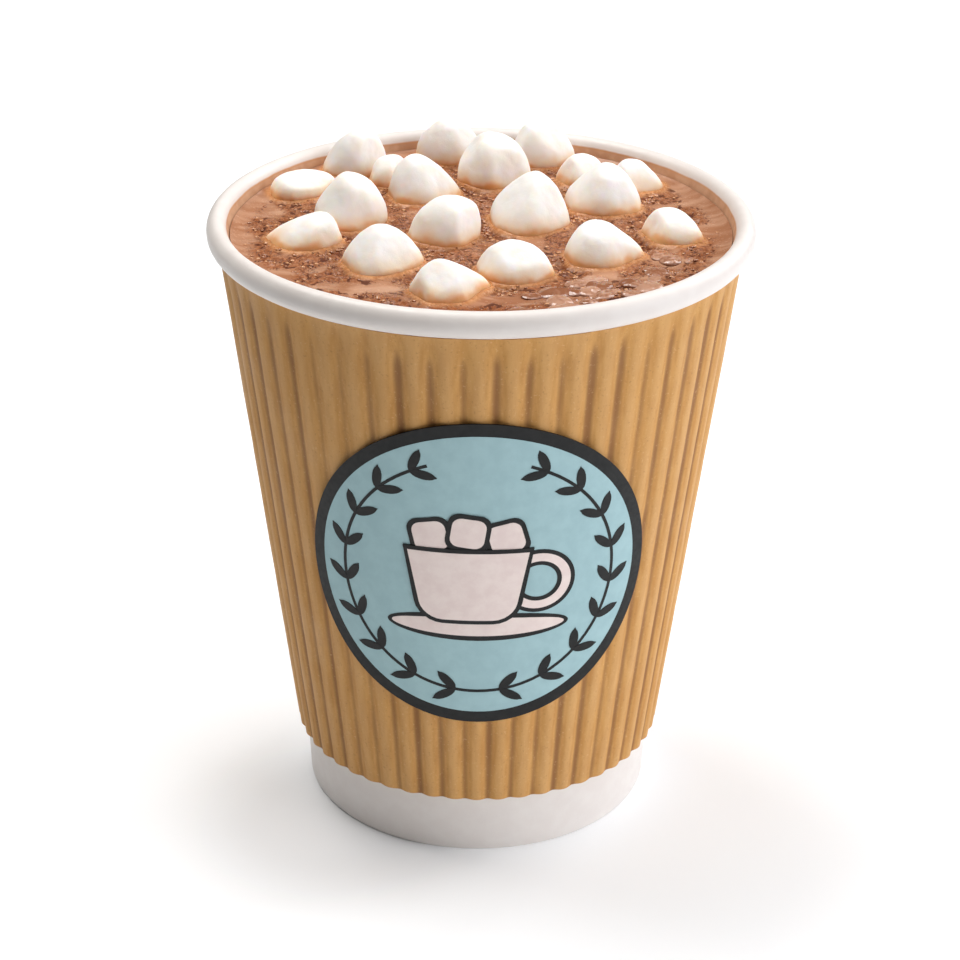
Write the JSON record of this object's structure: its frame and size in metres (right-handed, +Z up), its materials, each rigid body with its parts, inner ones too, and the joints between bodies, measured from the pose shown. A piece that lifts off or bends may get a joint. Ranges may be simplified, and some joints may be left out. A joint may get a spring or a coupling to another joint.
{
  "type": "hot chocolate in a paper cup",
  "caption": "Takeaway paper cup with a rippled kraft sleeve, filled with hot chocolate and floating mini marshmallows.",
  "frame": {"origin": "centre of the cup's foot, on the surface that it stands on", "axes": "+Z up along the cup's axis, -Y towards the label on the front, +X to the right of someone facing the label"},
  "size_m": [0.09, 0.09, 0.1102],
  "materials": {
    "cup_paper": "smooth coated white",
    "floor_paper": "smooth coated white",
    "kraft": "matte uncoated kraft",
    "label_print": "satin print",
    "chocolate": "glossy frothy liquid, standing in as a solid",
    "marshmallow": "soft matte white, standing in as a solid"
  },
  "bodies": {
    "root": {"cup": "cup_paper", "cup_floor": "floor_paper", "sleeve": "kraft", "label": "label_print", "drink": "chocolate", "marshmallow_01": "marshmallow", "marshmallow_02": "marshmallow", "marshmallow_03": "marshmallow", "marshmallow_04": "marshmallow", "marshmallow_05": "marshmallow", "marshmallow_06": "marshmallow", "marshmallow_07": "marshmallow", "marshmallow_08": "marshmallow", "marshmallow_09": "marshmallow", "marshmallow_10": "marshmallow", "marshmallow_11": "marshmallow", "marshmallow_12": "marshmallow", "marshmallow_13": "marshmallow", "marshmallow_14": "marshmallow", "marshmallow_15": "marshmallow", "marshmallow_16": "marshmallow", "marshmallow_17": "marshmallow", "marshmallow_18": "marshmallow", "marshmallow_19": "marshmallow"}
  },
  "joints": []
}
